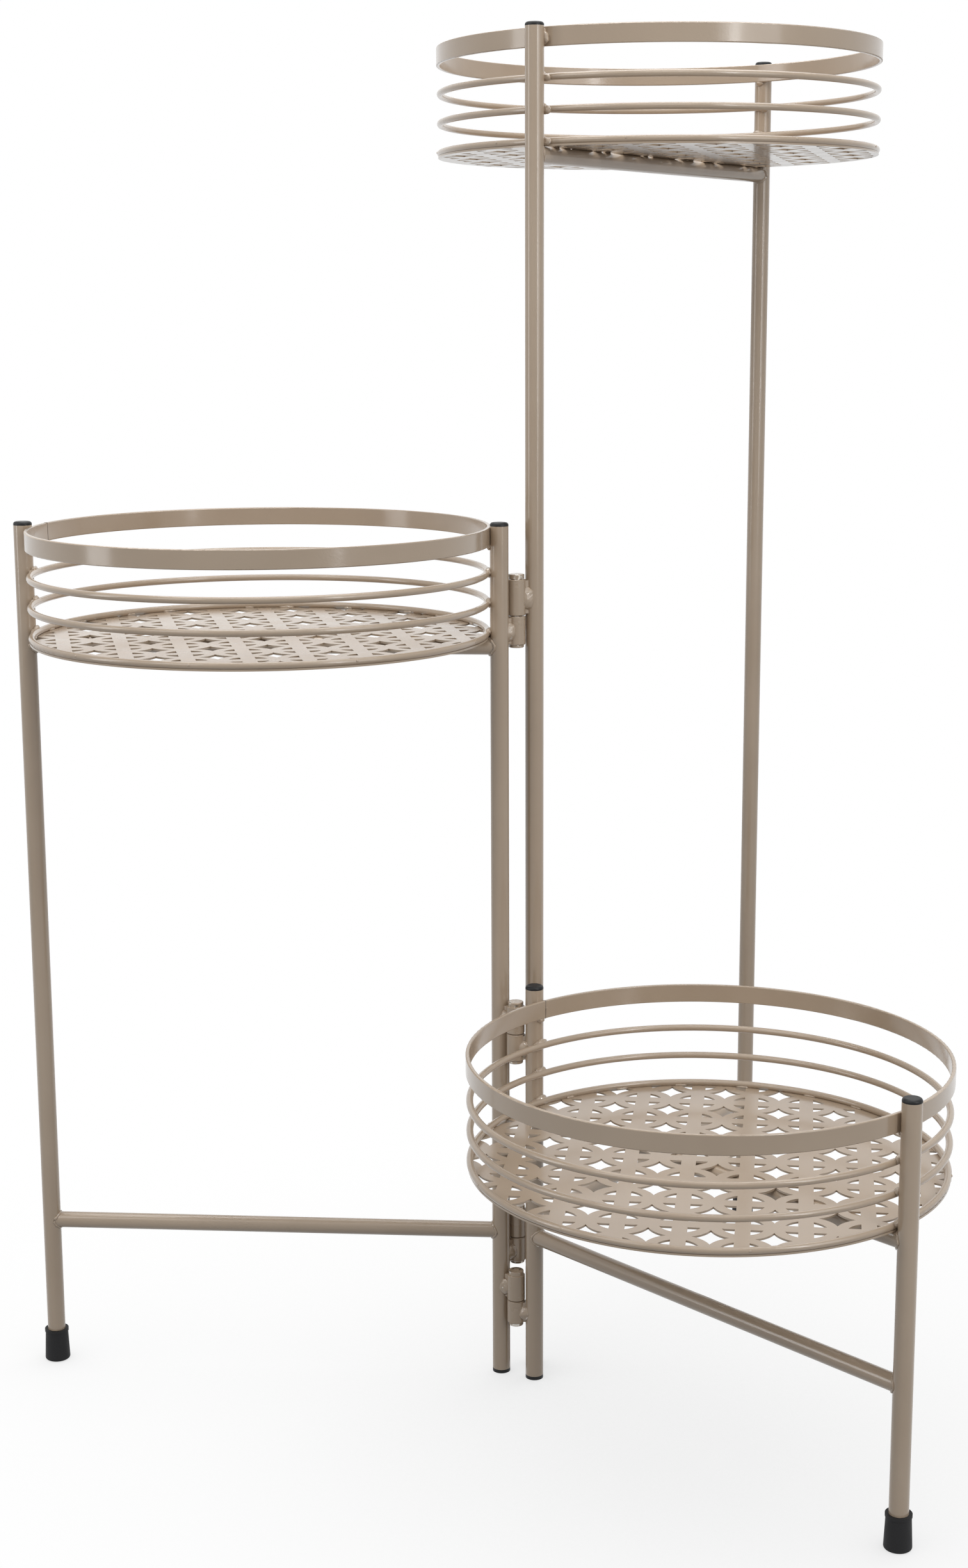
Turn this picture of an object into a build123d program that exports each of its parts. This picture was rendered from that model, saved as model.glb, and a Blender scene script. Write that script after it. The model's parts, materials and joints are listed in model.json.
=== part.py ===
from build123d import *
import os
from math import asin, atan2, ceil, cos, degrees, radians, sin

os.makedirs("parts", exist_ok=True)

# A folding plant table of three round basket tiers. Each tier hangs between the two posts of
# its own flat frame, and the tall and the low frame swing on the middle frame's right post.
# Millimetres, floor at z = 0, the middle frame along X, the photographed side facing -Y.

# Tube stock
tube_d = 10.0
tube_wall = 1.0
brace_d = 9.0
brace_wall = 1.0

# Frames
post_pitch = 258.0
post_top = {"mid": 484.0, "tall": 740.0, "low": 231.0}
post_above_band = {"mid": 2.5, "tall": 2.0, "low": 8.0}
stretcher_z = 85.0

# Basket: a flat band over two wire rings and a bottom hoop, welded inside the posts
weld_sink = 0.2
band_h = 10.0
band_t = 2.0
band_edge = 0.5
wire_d = 3.6
first_ring_drop = 25.0
ring_pitch = 16.1

# Perforated plate: a square net of straight bars with a ring round each crossing
plate_t = 1.0
plate_margin = 0.6
net_pitch = 30.0
net_bar = 7.5
net_ring_id = 21.2
net_ring_od = 32.4
net_angle = {"mid": 105.5, "tall": -70.0, "low": -50.0}
net_shift = {"mid": (0.0, 14.0), "tall": (3.0, -4.0), "low": (-3.3, -9.3)}
least_hole_area = 9.0

# Top caps, and the plug and the rubber foot at the lower ends
plug_fit = 0.05
plug_stem = 9.0
cap_head = 2.0
cap_round = 1.5
floor_plug_head = 2.0
foot_d = 14.3
foot_mouth_d = 12.8
foot_h = 18.5
foot_base = 3.0
foot_round = 1.2
foot_lip = 0.35
foot_lip_h = 1.6

# Weld-on hinges
knuckle_d = 10.0
knuckle_edge = 0.4
knuckle_weld_gap = 0.6
knuckle_weld_w = 4.6
knuckle_weld_inset = 0.8
seam = 0.4
pin_d = 6.0
pin_play = 0.08
pin_head_d = 8.6
pin_head_t = 2.4
pin_tail_d = 8.2
pin_tail_t = 1.6
pin_edge = 0.5
pin_end_play = 0.3
upper_seam_drop = {"tall": 50.5, "low": 28.0}
lower_seam_z = {"tall": 79.5, "low": 46.0}
upper_l = {"tall_upper": 19.5, "tall_lower": 15.5, "low_upper": 15.5, "low_lower": 15.0}
lower_l = {"tall_upper": 15.5, "tall_lower": 14.0, "low_upper": 15.0, "low_lower": 13.0}

# Fold: how far apart folded frames lie, and how far each stands open at rest
fold_gap = 2.0
open_angle = {"tall": 60.5, "low": -43.5}

# What follows from them
tube_r = tube_d / 2
hinge_reach = tube_r + knuckle_d / 2 + knuckle_weld_gap
fold_pitch = tube_d + fold_gap
hinge_lean = degrees(asin(fold_pitch / 2 / hinge_reach))
basket_r = post_pitch / 2 - tube_r
band_r = basket_r + weld_sink
ring_r = basket_r - wire_d / 2
plate_r = basket_r - plate_margin
stem_d = tube_d - 2 * tube_wall - 2 * plug_fit

# Each upper hinge hangs below the top of the shorter frame that it joins
seam_z = {
    "tall_upper": post_top["mid"] - upper_seam_drop["tall"],
    "tall_lower": lower_seam_z["tall"],
    "low_upper": post_top["low"] - upper_seam_drop["low"],
    "low_lower": lower_seam_z["low"],
}


def polar(start, angle, distance):
    return (start[0] + distance * cos(radians(angle)), start[1] + distance * sin(radians(angle)))


# Plan of the frames, first about the middle frame's hinge post
pivot = {
    "tall": polar((0, 0), hinge_lean, hinge_reach),
    "low": polar((0, 0), -hinge_lean, hinge_reach),
}
hinge_post = {
    "mid": (0.0, 0.0),
    "tall": polar(pivot["tall"], open_angle["tall"] - hinge_lean, hinge_reach),
    "low": polar(pivot["low"], open_angle["low"] + hinge_lean, hinge_reach),
}
heading = {"mid": 180.0, "tall": open_angle["tall"], "low": open_angle["low"]}
free_post = {f: polar(hinge_post[f], heading[f], post_pitch) for f in heading}
centre = {f: polar(hinge_post[f], heading[f], post_pitch / 2) for f in heading}

# The origin is on the floor, under the middle of the whole table's box
discs = [(centre[f], band_r) for f in heading]
discs += [(free_post[f], foot_d / 2) for f in heading]
shift = tuple(
    (min(c[i] - r for c, r in discs) + max(c[i] + r for c, r in discs)) / 2 for i in (0, 1)
)


def placed(point):
    return (point[0] - shift[0], point[1] - shift[1])


def facing(angle):
    return (cos(radians(angle)), sin(radians(angle)), 0)


def flat_plane(point, angle, z=0.0):
    return Plane(origin=(*placed(point), z), x_dir=facing(angle), z_dir=(0, 0, 1))


def save(piece, name):
    piece.part.label = name
    export_step(piece.part, f"parts/{name}.step")


def cut_posts(basket, z, height):
    with BuildSketch(basket.offset(z)) as posts:
        with Locations((-post_pitch / 2, 0), (post_pitch / 2, 0)):
            Circle(tube_r)
    extrude(posts.sketch, amount=height, mode=Mode.SUBTRACT)


def make_post(name, plane, bottom, top):
    with BuildPart() as post:
        with BuildSketch(plane.offset(bottom)):
            Circle(tube_r)
            Circle(tube_r - tube_wall, mode=Mode.SUBTRACT)
        extrude(amount=top - bottom)
    save(post, name)


def make_brace(name, basket, axis_z, flat_z=None):
    start = basket.offset(axis_z)
    across = Plane(
        origin=start.from_local_coords((-post_pitch / 2, 0, 0)),
        x_dir=(0, 0, 1),
        z_dir=basket.x_dir,
    )
    with BuildPart() as brace:
        with BuildSketch(across):
            Circle(brace_d / 2)
            Circle(brace_d / 2 - brace_wall, mode=Mode.SUBTRACT)
        extrude(amount=post_pitch)
        cut_posts(basket, axis_z - brace_d, 2 * brace_d)
        if flat_z is not None:
            with BuildSketch(basket.offset(flat_z)):
                Rectangle(post_pitch, brace_d)
            extrude(amount=brace_d, mode=Mode.SUBTRACT)
    save(brace, name)


def make_band(name, basket, top):
    with BuildPart() as band:
        with BuildSketch(basket.offset(top - band_h)):
            Circle(band_r)
            Circle(band_r - band_t, mode=Mode.SUBTRACT)
        extrude(amount=band_h)
        fillet(band.edges().filter_by(GeomType.CIRCLE), band_edge)
        cut_posts(basket, top - 2 * band_h, 3 * band_h)
    save(band, name)


def make_ring(name, basket, axis_z, flat_z=None):
    start = basket.offset(axis_z)
    across = Plane(
        origin=start.from_local_coords((0, ring_r, 0)),
        x_dir=basket.y_dir,
        z_dir=basket.x_dir,
    )
    with BuildPart() as ring:
        with BuildSketch(across):
            Circle(wire_d / 2)
            if flat_z is not None:
                with Locations((0, flat_z - axis_z - wire_d / 2)):
                    Rectangle(wire_d, wire_d, mode=Mode.SUBTRACT)
        revolve(axis=Axis(start.origin, (0, 0, 1)))
    save(ring, name)


def make_plate(name, frame, z):
    sheet = flat_plane(centre[frame], heading[frame] + net_angle[frame], z)
    rows = 2 * ceil(plate_r / net_pitch) + 1
    span = rows * net_pitch
    with BuildSketch() as holes:
        with Locations(net_shift[frame]):
            Rectangle(span, span)
            with GridLocations(net_pitch, net_pitch, rows, rows):
                Circle(net_ring_od / 2, mode=Mode.SUBTRACT)
            with GridLocations(net_pitch, net_pitch, rows, rows):
                Circle(net_ring_id / 2)
            with GridLocations(net_pitch, 0, rows, 1):
                Rectangle(net_bar, span, mode=Mode.SUBTRACT)
            with GridLocations(0, net_pitch, 1, rows):
                Rectangle(span, net_bar, mode=Mode.SUBTRACT)
        Circle(ring_r, mode=Mode.INTERSECT)
    with BuildPart() as plate:
        with BuildSketch(sheet):
            Circle(plate_r)
            add(holes.faces().filter_by(lambda hole: hole.area > least_hole_area), mode=Mode.SUBTRACT)
        extrude(amount=plate_t)
    save(plate, name)


def make_cap(name, point, tube_end):
    plane = flat_plane(point, 0, tube_end)
    with BuildPart() as cap:
        with BuildSketch(plane):
            Circle(tube_r)
        extrude(amount=cap_head)
        fillet(cap.edges().group_by(Axis.Z)[-1], cap_round)
        with BuildSketch(plane):
            Circle(stem_d / 2)
        extrude(amount=-plug_stem)
    save(cap, name)


def make_floor_plug(name, point):
    plane = flat_plane(point, 0, floor_plug_head)
    with BuildPart() as plug:
        with BuildSketch(plane):
            Circle(tube_r)
        extrude(amount=-floor_plug_head)
        with BuildSketch(plane):
            Circle(stem_d / 2)
        extrude(amount=plug_stem)
    save(plug, name)


def make_foot(name, point):
    side = Plane(origin=(*placed(point), 0), x_dir=(1, 0, 0), z_dir=(0, -1, 0))
    lip_r = foot_mouth_d / 2 + foot_lip
    outline = [
        (0, 0),
        (foot_d / 2, 0),
        (foot_mouth_d / 2, foot_h - foot_lip_h),
        (lip_r, foot_h - foot_lip_h),
        (lip_r, foot_h),
        (tube_r, foot_h),
        (tube_r, foot_base),
        (0, foot_base),
    ]
    with BuildPart() as foot:
        with BuildSketch(side):
            with BuildLine():
                Polyline(*outline, close=True)
            make_face()
        revolve(axis=Axis(side.origin, (0, 0, 1)))
        fillet(foot.edges().group_by(Axis.Z)[0], foot_round)
    save(foot, name)


def bearing(start, end):
    return degrees(atan2(end[1] - start[1], end[0] - start[0]))


def make_knuckle(name, frame, holder, bottom, length, bore_d):
    base = flat_plane(pivot[frame], bearing(pivot[frame], hinge_post[holder]), bottom)
    with BuildPart() as knuckle:
        with BuildSketch(base):
            Circle(knuckle_d / 2)
        extrude(amount=length)
        chamfer(knuckle.edges().filter_by(GeomType.CIRCLE), knuckle_edge)
        with BuildSketch(base.offset(knuckle_weld_inset)):
            with Locations((hinge_reach / 2, 0)):
                Rectangle(hinge_reach, knuckle_weld_w)
        extrude(amount=length - 2 * knuckle_weld_inset)
        with BuildSketch(base):
            Circle(bore_d / 2)
            with Locations((hinge_reach, 0)):
                Circle(tube_r)
        extrude(amount=length, mode=Mode.SUBTRACT)
    save(knuckle, name)


def make_pin(name, frame, tail_top, head_bottom):
    base = flat_plane(pivot[frame], 0, tail_top)
    with BuildPart() as pin:
        with BuildSketch(base):
            Circle(pin_tail_d / 2)
        extrude(amount=-pin_tail_t)
        fillet(pin.edges().group_by(Axis.Z)[0], pin_edge)
        with BuildSketch(base.offset(head_bottom - tail_top)):
            Circle(pin_head_d / 2)
        extrude(amount=pin_head_t)
        fillet(pin.edges().group_by(Axis.Z)[-1], pin_edge)
        with BuildSketch(base):
            Circle(pin_d / 2)
        extrude(amount=head_bottom - tail_top)
    save(pin, name)


for frame in heading:
    basket = flat_plane(centre[frame], heading[frame])
    tube_end = post_top[frame] - cap_head
    band_top = post_top[frame] - post_above_band[frame]
    hoop_z = band_top - first_ring_drop - 2 * ring_pitch
    plate_top = hoop_z - wire_d / 2 + weld_sink
    rail_z = plate_top - plate_t - brace_d / 2 + weld_sink

    make_post(f"{frame}_post_hinge", flat_plane(hinge_post[frame], 0), floor_plug_head, tube_end)
    make_post(f"{frame}_post_free", flat_plane(free_post[frame], 0), foot_base, tube_end)
    make_brace(f"{frame}_rail", basket, rail_z, plate_top - plate_t)
    make_brace(f"{frame}_stretcher", basket, stretcher_z)
    make_band(f"{frame}_band", basket, band_top)
    make_ring(f"{frame}_ring_upper", basket, band_top - first_ring_drop)
    make_ring(f"{frame}_ring_lower", basket, band_top - first_ring_drop - ring_pitch)
    make_ring(f"{frame}_hoop", basket, hoop_z, plate_top)
    make_plate(f"{frame}_plate", frame, plate_top - plate_t)
    make_cap(f"{frame}_cap_hinge", hinge_post[frame], tube_end)
    make_cap(f"{frame}_cap_free", free_post[frame], tube_end)
    make_floor_plug(f"{frame}_floor_plug", hinge_post[frame])
    make_foot(f"{frame}_foot", free_post[frame])
    x, y = placed(centre[frame])
    print(f"{frame} basket centre {x:.3f} {y:.3f} plate {plate_top:.3f} band {band_top:.3f}")
    for end, post in (("hinge", hinge_post), ("free", free_post)):
        print(f"{frame} {end} post {placed(post[frame])[0]:.3f} {placed(post[frame])[1]:.3f}")

# The pin is fast in the middle frame's knuckle and turns in the other frame's
for joint in seam_z:
    frame = joint.split("_")[0]
    holders = {"tall": ("tall", "mid"), "low": ("mid", "low")}[frame]
    bottom = seam_z[joint] - seam / 2 - lower_l[joint]
    top_seat = seam_z[joint] + seam / 2
    top = top_seat + upper_l[joint]
    bores = [pin_d if holder == "mid" else pin_d + 2 * pin_play for holder in holders]
    make_knuckle(f"hinge_{joint}_knuckle_top", frame, holders[0], top_seat, upper_l[joint], bores[0])
    make_knuckle(f"hinge_{joint}_knuckle_base", frame, holders[1], bottom, lower_l[joint], bores[1])
    play = {"tall": (0, pin_end_play), "low": (pin_end_play, 0)}[frame]
    make_pin(f"hinge_{joint}_pin", frame, bottom - play[0], top + play[1])

for frame in pivot:
    x, y = placed(pivot[frame])
    print(f"{frame} pivot {x:.3f} {y:.3f}")
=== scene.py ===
import json
from math import cos, pi, radians, sin, sqrt

import bmesh
import bpy
from mathutils import Matrix, Vector, noise


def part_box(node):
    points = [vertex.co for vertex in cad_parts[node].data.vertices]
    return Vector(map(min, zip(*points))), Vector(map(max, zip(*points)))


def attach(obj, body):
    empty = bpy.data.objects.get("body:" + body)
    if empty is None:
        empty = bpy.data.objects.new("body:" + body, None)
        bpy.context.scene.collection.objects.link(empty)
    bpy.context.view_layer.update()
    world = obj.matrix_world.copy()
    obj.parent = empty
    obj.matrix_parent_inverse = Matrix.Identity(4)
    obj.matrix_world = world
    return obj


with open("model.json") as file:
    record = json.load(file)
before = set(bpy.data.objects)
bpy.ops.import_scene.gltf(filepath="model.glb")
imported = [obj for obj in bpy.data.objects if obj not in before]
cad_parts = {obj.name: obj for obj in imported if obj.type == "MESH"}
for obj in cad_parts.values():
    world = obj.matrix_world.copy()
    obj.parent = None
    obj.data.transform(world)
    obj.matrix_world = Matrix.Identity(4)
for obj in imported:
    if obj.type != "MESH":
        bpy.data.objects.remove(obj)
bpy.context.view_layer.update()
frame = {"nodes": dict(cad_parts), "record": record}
scene = bpy.context.scene

FRAMES = ("mid", "tall", "low")
HINGES = ("tall_upper", "tall_lower", "low_upper", "low_lower")
# The frames that hold a hinge's top and base knuckles
KNUCKLE_HOLDERS = {"tall": ("tall", "mid"), "low": ("mid", "low")}
MM = 0.001
UP = Vector((0, 0, 1))

# Camera, at the photograph's viewing angle
PHOTO_LONG_SIDE = 2448
FOCAL_PX = 3698.47
SENSOR_MM = 36.0
CAMERA_PLACE = (0.0969, -1.2732, 0.5972)
CAMERA_YAW = -4.23
CAMERA_PITCH = -11.46
CAMERA_ROLL = -0.26
CAMERA_SHIFT = (0.0020, 0.0009)
CAMERA_CLIP = (0.05, 50.0)

# Tones, as sRGB
TAUPE = (0.690, 0.618, 0.538)
TAUPE_SHADE = (0.662, 0.588, 0.506)
BLACK_PLASTIC = (0.060, 0.062, 0.066)
BLACK_RUBBER = (0.085, 0.085, 0.090)
SEAM_BROWN = (0.36, 0.31, 0.26)
STEEL = (0.72, 0.70, 0.67)
WHITE = (1, 1, 1, 1)

# Powder coat: noise scales, and bump distances in metres
NOISE_SPREAD = (0.35, 0.65)
DRIFT_SCALE = 14.0
HAZE_SCALE = 60.0
LUMP_SCALE = 220.0
PEEL_SCALE = 900.0
LUMP_HEIGHT = 2.0 * MM
PEEL_HEIGHT = 0.5 * MM
COAT_WEIGHT = 0.40
COAT_ROUGHNESS = 0.12
RUB_EDGE = 0.05

# Moulded plastic and rubber
DUST_SCALE = 120.0
DUST_GAIN = 1.35
DUST_LIFT = 0.01
DUST_GLOSS = (-0.06, 0.08)
GRAIN_HEIGHT = 0.4 * MM
PLASTIC_SPECULAR = 0.28

# Light. The floor's shadow is a painted shadow: ambient occlusion darkens the floor's glow, and the
# lamps cast none that the camera sees. The painted shadow tone is how bright the floor is seen where
# all light is shut off; the reach is how far the painted shadow spreads.
WORLD_FILL = 0.25
FLOOR_SIDE = 14.0
FLOOR_DROP = 0.2 * MM
FLOOR_TONE = 0.26
PAINTED_SHADOW_REACH = 0.35
PAINTED_SHADOW_TONE = 0.65
# Each lamp's name, place, point it faces, width and height, and watts
LAMPS = (
    ("key_left", (-1.0, -1.2, 1.55), (-0.05, 0, 0.50), (0.8, 0.9), 6),
    ("side_left", (-1.35, -0.45, 0.85), (-0.05, 0, 0.50), (0.35, 1.2), 4.5),
    ("side_right", (1.12, -0.92, 1.00), (0.0, 0, 0.50), (0.85, 1.2), 6),
    ("strip_right", (0.92, -1.00, 0.95), (0.0, 0, 0.50), (0.12, 1.3), 3),
    ("front_high", (0.15, -0.95, 1.50), (0.08, 0.1, 0.72), (0.6, 0.4), 2.2),
    ("overhead", (0.05, 0.25, 1.85), (0.05, 0, 0.3), (1.5, 1.3), 20),
)

# Drops and beads of weld: how deep their lumps are, and the lumps' noise scales
BLOB_LUMPS = ((0.22, 1.7), (0.06, 5.3))
BEAD_LUMP = 0.35
BEAD_LUMP_SCALE = 420
BEAD_RIPPLE = 0.16
BEAD_RIPPLE_STEP = 1.9
BEAD_END_LEAST = 0.02
# A direction that no bead runs along
OBLIQUE = Vector((0.31, 0.17, 0.93))

# Welds of the wire rings and hoops; the shapes are shares of the radius
WIRE_R = 1.8 * MM
WIRE_WELD_R = 2.5 * MM
WIRE_WELD_SINK = 0.5 * MM
WIRE_WELD_ASIDE = 3.6 * MM
WIRE_WELD_TOP = (0.8, 1.5, 0.85)
WIRE_WELD_LOW = (0.7, 1.4, 0.85)
WIRE_WELD_LOW_SHARE = 0.35

# Welds and seams of the bands; the shares are of the band's height
BAND_T = 2.0 * MM
BAND_BEAD_SIDE = {"mid": 1, "tall": 1, "low": -1}
BAND_BEAD_R = 1.728 * MM
BAND_BEAD_SINK = 0.2 * MM
BAND_BEAD_ASIDE = 2.6 * MM
BAND_BEAD_POINTS = 12
BAND_BEAD_START = 0.06
BAND_BEAD_SPAN = 0.88
BAND_DRIP = (1.6 * MM, 2.4 * MM, 1.9 * MM)
BAND_DRIP_SINK = 0.4 * MM
BAND_DRIP_DROP = 0.5 * MM
BAND_LOBE = (1.9 * MM, 2.3 * MM, 3.2 * MM)
BAND_LOBE_OUT = 1.4 * MM
BAND_LOBE_ASIDE = 4.4 * MM
BAND_LOBE_SHARE = 0.4
SEAM_DEGREES = {"mid": 170.5, "low": -1.0, "tall": -1.0}
SEAM_R = 0.28 * MM
SEAM_PROUD = 0.02 * MM
SEAM_INSET = 0.12 * MM
SEAM_STEPS = 6

# Welds of the rails and stretchers
BRACE_BEAD_R = {"rail": 0.805 * MM, "stretcher": 0.713 * MM}
BRACE_BEAD_OFF = 0.2 * MM
BRACE_BEAD_UNDER_TOP = 0.3 * MM
BRACE_BEAD_POINTS = 40

# Stitches between plate and hoop, and pimples on the hoop
STITCHES = 22
STITCH_POINTS = 7
STITCH_R = 0.75 * MM
STITCH_IN = 0.5 * MM
STITCH_LIFT = 0.35 * MM
PIMPLES = 9
PIMPLE = (0.55 * MM, 0.8 * MM, 0.7 * MM)
PIMPLE_SINK = 0.25 * MM
PIMPLE_LIFT = 0.3 * MM

# Welds of the hinges; the height is a share of the knuckle's
HINGE_WELD_REACH = 4.4 * MM
HINGE_WELD_WIDTH = 2.4 * MM
HINGE_WELD_HEIGHT = 0.32
HINGE_WELD_OUT = 0.3 * MM
HINGE_WELD_ASIDE = 2.3 * MM
HINGE_WELD_SHARE = 0.46


def linear(tone):
    return tuple(c / 12.92 if c <= 0.04045 else ((c + 0.055) / 1.055) ** 2.4 for c in tone)


def grey(value):
    return (value, value, value, 1.0)


def new_material(name):
    material = bpy.data.materials.new(name)
    material.use_nodes = True
    tree = material.node_tree
    place = tree.nodes.new("ShaderNodeTexCoord")
    return material, tree, tree.nodes["Principled BSDF"], place


def noise_node(tree, place, scale, detail):
    made = tree.nodes.new("ShaderNodeTexNoise")
    made.inputs["Scale"].default_value = scale
    made.inputs["Detail"].default_value = detail
    tree.links.new(place.outputs["Object"], made.inputs["Vector"])
    return made


def ramp_node(tree, source, low, high):
    """Spreads the middle of a noise over low..high, as a colour or as a value."""
    made = tree.nodes.new("ShaderNodeValToRGB")
    for element, position, color in zip(made.color_ramp.elements, NOISE_SPREAD, (low, high)):
        element.position = position
        element.color = color
    tree.links.new(source.outputs["Fac"], made.inputs["Fac"])
    return made


def bump_node(tree, source, strength, height):
    made = tree.nodes.new("ShaderNodeBump")
    made.inputs["Strength"].default_value = strength
    made.inputs["Distance"].default_value = height
    tree.links.new(source.outputs["Fac"], made.inputs["Height"])
    return made


def coated(name, tone, shade, gloss=(0.20, 0.26), peel=0.05, lumps=0.03):
    """Powder coat: a slow drift of tone, orange peel, soft lumps and an uneven satin gloss."""
    material, tree, shader, place = new_material(name)
    drift = noise_node(tree, place, DRIFT_SCALE, 3.0)
    colour = ramp_node(tree, drift, (*linear(shade), 1), (*linear(tone), 1))
    tree.links.new(colour.outputs["Color"], shader.inputs["Base Color"])
    haze = noise_node(tree, place, HAZE_SCALE, 4.0)
    satin = ramp_node(tree, haze, grey(gloss[0]), grey(gloss[1]))
    tree.links.new(satin.outputs["Color"], shader.inputs["Roughness"])
    lumpy = bump_node(tree, noise_node(tree, place, LUMP_SCALE, 2.0), lumps, LUMP_HEIGHT)
    peeled = bump_node(tree, noise_node(tree, place, PEEL_SCALE, 1.0), peel, PEEL_HEIGHT)
    tree.links.new(lumpy.outputs["Normal"], peeled.inputs["Normal"])
    tree.links.new(peeled.outputs["Normal"], shader.inputs["Normal"])
    shader.inputs["Coat Weight"].default_value = COAT_WEIGHT
    shader.inputs["Coat Roughness"].default_value = COAT_ROUGHNESS
    return material


def moulded(name, tone, roughness, grain, depth):
    """Black plastic or rubber with a fine moulded grain and a dusty, uneven gloss."""
    material, tree, shader, place = new_material(name)
    dust = noise_node(tree, place, DUST_SCALE, 4.0)
    lighter = tuple(min(1.0, c * DUST_GAIN + DUST_LIFT) for c in tone)
    colour = ramp_node(tree, dust, (*linear(tone), 1), (*linear(lighter), 1))
    tree.links.new(colour.outputs["Color"], shader.inputs["Base Color"])
    satin = ramp_node(tree, dust, grey(roughness + DUST_GLOSS[0]), grey(roughness + DUST_GLOSS[1]))
    tree.links.new(satin.outputs["Color"], shader.inputs["Roughness"])
    grained = bump_node(tree, noise_node(tree, place, grain, 2.0), depth, GRAIN_HEIGHT)
    tree.links.new(grained.outputs["Normal"], shader.inputs["Normal"])
    shader.inputs["Specular IOR Level"].default_value = PLASTIC_SPECULAR
    return material


def rubbed(material, scale, start):
    """Rubs a coat through to bright steel in patches, where a noise passes start."""
    tree = material.node_tree
    shader = tree.nodes["Principled BSDF"]
    wear = noise_node(tree, tree.nodes["Texture Coordinate"], scale, 3.0)
    patches = tree.nodes.new("ShaderNodeValToRGB")
    patches.color_ramp.elements[0].position = start
    patches.color_ramp.elements[1].position = start + RUB_EDGE
    tree.links.new(wear.outputs["Fac"], patches.inputs["Fac"])
    mix = tree.nodes.new("ShaderNodeMix")
    mix.data_type = "RGBA"
    tree.links.new(patches.outputs["Color"], mix.inputs["Factor"])
    tree.links.new(shader.inputs["Base Color"].links[0].from_socket, mix.inputs["A"])
    mix.inputs["B"].default_value = (*linear(STEEL), 1)
    tree.links.new(mix.outputs["Result"], shader.inputs["Base Color"])
    tree.links.new(patches.outputs["Color"], shader.inputs["Metallic"])
    return material


MATERIALS = {
    "frame_paint": coated("frame_coat", TAUPE, TAUPE_SHADE),
    "band_paint": coated("band_coat", TAUPE, TAUPE_SHADE, gloss=(0.16, 0.22), lumps=0.02),
    "wire_paint": coated("wire_coat", TAUPE, TAUPE_SHADE, gloss=(0.18, 0.26), lumps=0.06),
    "plate_paint": coated("plate_coat", TAUPE, TAUPE_SHADE, gloss=(0.20, 0.27), peel=0.04, lumps=0.02),
    "knuckle_paint": coated("knuckle_coat", TAUPE, TAUPE_SHADE, gloss=(0.22, 0.32), lumps=0.08),
    "pin_paint": rubbed(
        coated("pin_coat", TAUPE, TAUPE_SHADE, gloss=(0.24, 0.36)),
        scale=420.0, start=0.54,
    ),
    "plug_plastic": moulded("plug_black", BLACK_PLASTIC, roughness=0.42, grain=1400.0, depth=0.10),
    "foot_rubber": moulded("foot_black", BLACK_RUBBER, roughness=0.62, grain=1100.0, depth=0.22),
}
WELD_COAT = rubbed(
    coated("weld_coat", TAUPE, TAUPE_SHADE, gloss=(0.20, 0.34), peel=0.12, lumps=0.30),
    scale=700.0, start=0.63,
)
SEAM_COAT = coated("seam_coat", SEAM_BROWN, SEAM_BROWN)


def smooth(mesh):
    for face in mesh.polygons:
        face.use_smooth = True


def dress_cad_nodes():
    slots = {s["node"]: s["material_slot"] for s in frame["record"]["subparts"]}
    for name, piece in frame["nodes"].items():
        for slot in piece.material_slots:
            slot.material = MATERIALS[slots[name]]
        smooth(piece.data)


def finished(name, bm, body, material):
    """Makes the piece of bm, which rides on body."""
    mesh = bpy.data.meshes.new(name)
    bmesh.ops.recalc_face_normals(bm, faces=bm.faces)
    bm.to_mesh(mesh)
    bm.free()
    smooth(mesh)
    mesh.materials.append(material)
    piece = bpy.data.objects.new(name, mesh)
    scene.collection.objects.link(piece)
    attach(piece, body)


def axis_of(node):
    """The plan position, radius and ends of an upright round node."""
    low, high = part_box(node)
    plan = Vector(((low.x + high.x) / 2, (low.y + high.y) / 2, 0))
    return plan, (high.x - low.x) / 2, low.z, high.z


def basket_axes(f):
    """The basket's centre in plan, and the unit ways from it to the hinge post and across."""
    centre = axis_of(f"{f}_hoop")[0]
    post = axis_of(f"{f}_post_hinge")[0]
    out = (post - centre).normalized()
    return centre, out, Vector((-out.y, out.x, 0))


def raised(plan, z):
    return Vector((plan.x, plan.y, z))


def between(low, high, share):
    return low + (high - low) * share


def way_at(out, across, angle):
    return out * cos(angle) + across * sin(angle)


def facing(out, across):
    """The turn whose columns are out, across and up."""
    return Matrix((out, across, UP)).transposed()


def add_blob(bm, centre, radii, turn, seed):
    """One lumpy drop, its radii along the columns of turn."""
    made = bmesh.ops.create_icosphere(bm, subdivisions=3, radius=1.0)
    shift = Vector((seed * 3.7, seed * 1.3, -seed * 2.9))
    for vert in made["verts"]:
        way = vert.co.normalized()
        lump = 1 + sum(depth * noise.noise(way * scale + shift) for depth, scale in BLOB_LUMPS)
        place = Vector((way.x * radii[0], way.y * radii[1], way.z * radii[2]))
        vert.co = centre + turn @ place * lump


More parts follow.
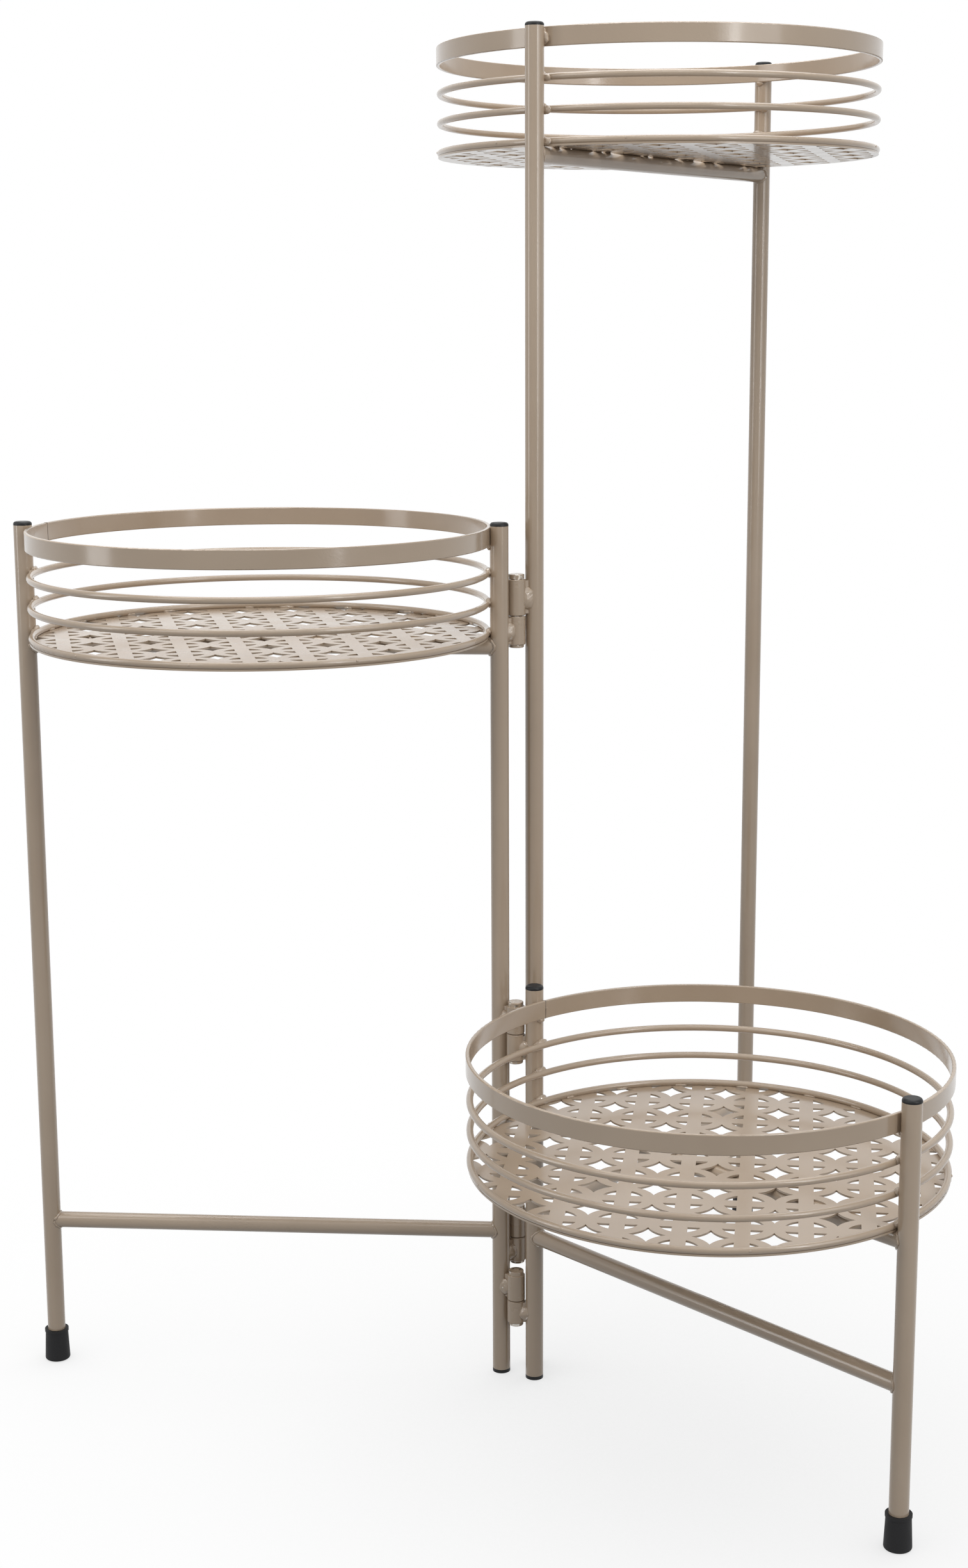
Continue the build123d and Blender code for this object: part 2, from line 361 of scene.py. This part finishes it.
def add_bead(bm, path, radius, seed, closed=False, sides=10):
    """A weld bead along path, rippled like laid drops and drawn in at free ends."""
    count = len(path)
    rings = []
    for i, point in enumerate(path):
        ahead = path[(i + 1) % count] if closed or i < count - 1 else point
        behind = path[i - 1] if closed or i > 0 else point
        along = (ahead - behind).normalized()
        side = along.cross(OBLIQUE).normalized()
        up = side.cross(along)
        lump = BEAD_LUMP * noise.noise(point * BEAD_LUMP_SCALE + Vector((seed, 0, 0)))
        ripple = 1 + BEAD_RIPPLE * sin(i * BEAD_RIPPLE_STEP + seed) + lump
        taper = 1.0 if closed else sqrt(max(BEAD_END_LEAST, 1 - (2 * i / (count - 1) - 1) ** 4))
        girth = radius * ripple * taper
        rings.append([
            bm.verts.new(point + way_at(side, up, 2 * pi * k / sides) * girth) for k in range(sides)
        ])
    for i in range(count if closed else count - 1):
        here, there = rings[i], rings[(i + 1) % count]
        for k in range(sides):
            after = (k + 1) % sides
            bm.faces.new((here[k], here[after], there[after], there[k]))
    if not closed:
        bm.faces.new(rings[0])
        bm.faces.new(list(reversed(rings[-1])))


def wire_welds(f):
    """Drops that hold the wire rings and the hoop to both posts."""
    bm = bmesh.new()
    centre, out, across = basket_axes(f)
    seed = FRAMES.index(f) * 17
    for ring in ("ring_upper", "ring_lower", "hoop"):
        _, ring_r, low, high = axis_of(f"{f}_{ring}")
        for way in (1, -1):
            seed += 1
            turn = facing(out * way, across)
            touch = centre + out * way * ring_r
            lift = 0.35 + 0.3 * noise.noise(Vector((seed, 2.1, 0)))
            top = raised(touch, between(low, high, 0.75 + 0.2 * lift)) - out * way * WIRE_WELD_SINK
            drop = WIRE_WELD_R * (1.0 + 0.15 * noise.noise(Vector((seed, 0.4, 9))))
            add_blob(bm, top, [drop * share for share in WIRE_WELD_TOP], turn, seed)
            aside = WIRE_WELD_ASIDE if seed % 2 or f == "tall" else -WIRE_WELD_ASIDE
            below = raised(touch, between(low, high, WIRE_WELD_LOW_SHARE)) + across * aside
            add_blob(bm, below, [drop * share for share in WIRE_WELD_LOW], turn, seed + 40)
    finished(f"{f}_wire_welds", bm, f"{f}_frame", WELD_COAT)


def band_welds(f, side):
    """The bead in the groove between the band and each post, a drip under it and a lobe beside it."""
    bm = bmesh.new()
    centre, out, across = basket_axes(f)
    _, band_r, low, high = axis_of(f"{f}_band")
    shares = [
        BAND_BEAD_START + BAND_BEAD_SPAN * i / (BAND_BEAD_POINTS - 1) for i in range(BAND_BEAD_POINTS)
    ]
    seed = 5 + FRAMES.index(f) * 7
    for way in (1, -1):
        seed += 1
        turn = facing(out * way, across)
        foot = centre + out * way * (band_r - BAND_BEAD_SINK) + across * side * BAND_BEAD_ASIDE
        add_bead(bm, [raised(foot, between(low, high, share)) for share in shares], BAND_BEAD_R, seed)
        drip = centre + out * way * (band_r - BAND_DRIP_SINK)
        add_blob(bm, raised(drip, low - BAND_DRIP_DROP), BAND_DRIP, turn, seed)
        lobe = centre + out * way * (band_r + BAND_LOBE_OUT) + across * side * BAND_LOBE_ASIDE
        add_blob(bm, raised(lobe, between(low, high, BAND_LOBE_SHARE)), BAND_LOBE, turn, seed + 9)
    finished(f"{f}_band_welds", bm, f"{f}_frame", WELD_COAT)


def brace_welds(f):
    """The fillet round each end of the rail and the stretcher, where they meet the posts."""
    bm = bmesh.new()
    centre, _, across = basket_axes(f)
    seed = 3 + FRAMES.index(f) * 11
    _, _, under, over = axis_of(f"{f}_stretcher")
    brace_r = (over - under) / 2
    for brace in ("rail", "stretcher"):
        low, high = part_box(f"{f}_{brace}")
        middle_z = low.z + brace_r
        highest_rise = high.z - middle_z - BRACE_BEAD_UNDER_TOP
        for post in ("post_hinge", "post_free"):
            seed += 1
            foot, post_r, _, _ = axis_of(f"{f}_{post}")
            inward = (centre - foot).normalized()
            path = []
            for i in range(BRACE_BEAD_POINTS):
                angle = 2 * pi * i / BRACE_BEAD_POINTS
                aside = brace_r * cos(angle)
                rise = min(brace_r * sin(angle), highest_rise)
                reach = sqrt(max(0.0, post_r ** 2 - aside ** 2)) + BRACE_BEAD_OFF
                path.append(raised(foot, middle_z + rise) + inward * reach + across * aside)
            add_bead(bm, path, BRACE_BEAD_R[brace], seed, closed=True, sides=8)
    finished(f"{f}_brace_welds", bm, f"{f}_frame", WELD_COAT)


def hoop_stitches(f):
    """Short stitches that tack the plate up to its hoop, and the pimples they leave on the hoop."""
    bm = bmesh.new()
    centre, out, across = basket_axes(f)
    _, hoop_r, low, high = axis_of(f"{f}_hoop")
    stitch_r = hoop_r - 2 * WIRE_R + STITCH_IN
    seed = 60 + FRAMES.index(f) * 31
    for i in range(STITCHES):
        wander = 0.35 * noise.noise(Vector((i * 0.9, seed, 0)))
        middle = 2 * pi * (i + 0.5 + wander) / STITCHES
        length = radians(1.6 + 0.9 * noise.noise(Vector((i * 1.7, 3.3, seed))))
        path = []
        for k in range(STITCH_POINTS):
            angle = middle + length * (2 * k / (STITCH_POINTS - 1) - 1)
            path.append(raised(centre + way_at(out, across, angle) * stitch_r, low + STITCH_LIFT))
        add_bead(bm, path, STITCH_R, seed + i, sides=8)
    for i in range(PIMPLES):
        wander = 0.3 * noise.noise(Vector((i * 2.3, 8.1, seed)))
        way = way_at(out, across, 2 * pi * (i + wander) / PIMPLES + 0.4)
        spot = raised(centre + way * (hoop_r - PIMPLE_SINK), (low + high) / 2 + PIMPLE_LIFT)
        add_blob(bm, spot, PIMPLE, facing(way, UP.cross(way)), seed + i)
    finished(f"{f}_hoop_stitches", bm, f"{f}_frame", WELD_COAT)


def band_seam(f, degrees_from_post):
    """The ground-down butt joint of the band, a fine line over its inner face, edges and outer face."""
    bm = bmesh.new()
    centre, out, across = basket_axes(f)
    _, band_r, low, high = axis_of(f"{f}_band")
    way = way_at(out, across, radians(degrees_from_post))
    inner = band_r - BAND_T - SEAM_PROUD + SEAM_INSET
    outer = band_r + SEAM_PROUD - SEAM_INSET
    bottom, top = low + SEAM_INSET, high - SEAM_INSET
    corners = [(inner, bottom), (inner, top), (outer, top), (outer, bottom)]
    path = []
    for (r0, z0), (r1, z1) in zip(corners, corners[1:] + corners[:1]):
        for k in range(SEAM_STEPS):
            share = k / SEAM_STEPS
            path.append(raised(centre + way * between(r0, r1, share), between(z0, z1, share)))
    add_bead(bm, path, SEAM_R, 2.0, closed=True, sides=6)
    finished(f"{f}_band_seam", bm, f"{f}_frame", SEAM_COAT)


def hinge_welds(h):
    """Blobs of weld on both sides of the web between each knuckle and its post."""
    pin_axis = axis_of(f"hinge_{h}_pin")[0]
    for part, holder in zip(("knuckle_top", "knuckle_base"), KNUCKLE_HOLDERS[h.split("_")[0]]):
        bm = bmesh.new()
        low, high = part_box(f"hinge_{h}_{part}")
        length = high.z - low.z
        radii = (HINGE_WELD_REACH, HINGE_WELD_WIDTH, length * HINGE_WELD_HEIGHT)
        to_post = axis_of(f"{holder}_post_hinge")[0] - pin_axis
        out = to_post.normalized()
        across = Vector((-out.y, out.x, 0))
        halfway = pin_axis + out * (to_post.length / 2 + HINGE_WELD_OUT)
        for side in (1, -1):
            seed = HINGES.index(h) * 5 + side * 2 + len(part)
            share = HINGE_WELD_SHARE + 0.1 * noise.noise(Vector((seed, 1, 2)))
            middle = raised(halfway + across * side * HINGE_WELD_ASIDE, low.z + length * share)
            add_blob(bm, middle, radii, facing(out, across), seed)
        finished(f"hinge_{h}_{part}_weld", bm, f"{holder}_frame", WELD_COAT)


def make_camera():
    yaw, pitch, roll = radians(CAMERA_YAW), radians(CAMERA_PITCH), radians(CAMERA_ROLL)
    ahead = Vector((sin(yaw) * cos(pitch), cos(yaw) * cos(pitch), sin(pitch)))
    right = Vector((cos(yaw), -sin(yaw), 0))
    up = right.cross(ahead)
    right, up = right * cos(roll) + up * sin(roll), up * cos(roll) - right * sin(roll)
    data = bpy.data.cameras.new("camera")
    data.sensor_width = SENSOR_MM
    data.lens = FOCAL_PX / PHOTO_LONG_SIDE * SENSOR_MM
    data.shift_x, data.shift_y = CAMERA_SHIFT
    data.clip_start, data.clip_end = CAMERA_CLIP
    camera = bpy.data.objects.new("camera", data)
    turn = Matrix((right, up, -ahead)).transposed().to_4x4()
    camera.matrix_world = Matrix.Translation(CAMERA_PLACE) @ turn
    scene.collection.objects.link(camera)
    scene.camera = camera


def seen_directly(tree):
    """1 for what the camera, a reflection or clear glass sees, 0 for light that falls on the object."""
    path = tree.nodes.new("ShaderNodeLightPath")
    total = path.outputs["Is Camera Ray"]
    for name in ("Is Glossy Ray", "Is Transmission Ray"):
        add = tree.nodes.new("ShaderNodeMath")
        add.operation = "MAXIMUM"
        tree.links.new(total, add.inputs[0])
        tree.links.new(path.outputs[name], add.inputs[1])
        total = add.outputs[0]
    return total


def set_surface(tree, output, lighting, seen):
    """Lights the object with one shader, and shows the other where the surface is seen directly."""
    mix = tree.nodes.new("ShaderNodeMixShader")
    tree.links.new(seen_directly(tree), mix.inputs["Fac"])
    tree.links.new(lighting.outputs[0], mix.inputs[1])
    tree.links.new(seen.outputs[0], mix.inputs[2])
    tree.links.new(mix.outputs[0], tree.nodes.new(output).inputs["Surface"])


def background_node(tree, strength):
    made = tree.nodes.new("ShaderNodeBackground")
    made.inputs["Color"].default_value = WHITE
    made.inputs["Strength"].default_value = strength
    return made


def make_world():
    world = bpy.data.worlds.new("studio")
    scene.world = world
    world.use_nodes = True
    tree = world.node_tree
    tree.nodes.clear()
    fill = background_node(tree, WORLD_FILL)
    set_surface(tree, "ShaderNodeOutputWorld", fill, background_node(tree, 1.0))


def make_floor():
    """A pale matt floor that the camera sees as white, with a soft painted shadow of the object on it:
    ambient occlusion darkens the floor's glow, and the lamps' own shadow is not what the camera sees.
    """
    bm = bmesh.new()
    bmesh.ops.create_grid(bm, x_segments=1, y_segments=1, size=FLOOR_SIDE / 2)
    mesh = bpy.data.meshes.new("floor")
    bm.to_mesh(mesh)
    bm.free()
    floor = bpy.data.objects.new("floor", mesh)
    floor.location.z = -FLOOR_DROP
    scene.collection.objects.link(floor)
    material = bpy.data.materials.new("floor_white_painted_shadow")
    material.use_nodes = True
    tree = material.node_tree
    tree.nodes.clear()
    matt = tree.nodes.new("ShaderNodeBsdfDiffuse")
    matt.inputs["Color"].default_value = grey(FLOOR_TONE)
    # Painted shadow: the ambient-occlusion node darkens the floor's glow near the object, down to the
    # painted shadow tone where all light is shut off.
    painted_shadow_ao = tree.nodes.new("ShaderNodeAmbientOcclusion")
    painted_shadow_ao.inputs["Distance"].default_value = PAINTED_SHADOW_REACH
    shade = tree.nodes.new("ShaderNodeMapRange")
    shade.inputs["To Min"].default_value = PAINTED_SHADOW_TONE
    tree.links.new(painted_shadow_ao.outputs["AO"], shade.inputs["Value"])
    glow_with_painted_shadow = tree.nodes.new("ShaderNodeEmission")
    tree.links.new(shade.outputs["Result"], glow_with_painted_shadow.inputs["Strength"])
    set_surface(tree, "ShaderNodeOutputMaterial", matt, glow_with_painted_shadow)
    mesh.materials.append(material)


def make_lamp(name, place, aim, size, power):
    data = bpy.data.lights.new(name, "AREA")
    data.shape = "RECTANGLE"
    data.size, data.size_y = size
    data.energy = power
    lamp = bpy.data.objects.new(name, data)
    lamp.location = place
    lamp.rotation_mode = "QUATERNION"
    lamp.rotation_quaternion = (Vector(aim) - Vector(place)).to_track_quat("-Z", "Y")
    scene.collection.objects.link(lamp)


scene.view_settings.view_transform = "Standard"
make_camera()
make_world()
make_floor()
for lamp in LAMPS:
    make_lamp(*lamp)
dress_cad_nodes()
for f in FRAMES:
    wire_welds(f)
    band_welds(f, BAND_BEAD_SIDE[f])
    brace_welds(f)
    hoop_stitches(f)
for f, degrees_from_post in SEAM_DEGREES.items():
    band_seam(f, degrees_from_post)
for h in HINGES:
    hinge_welds(h)
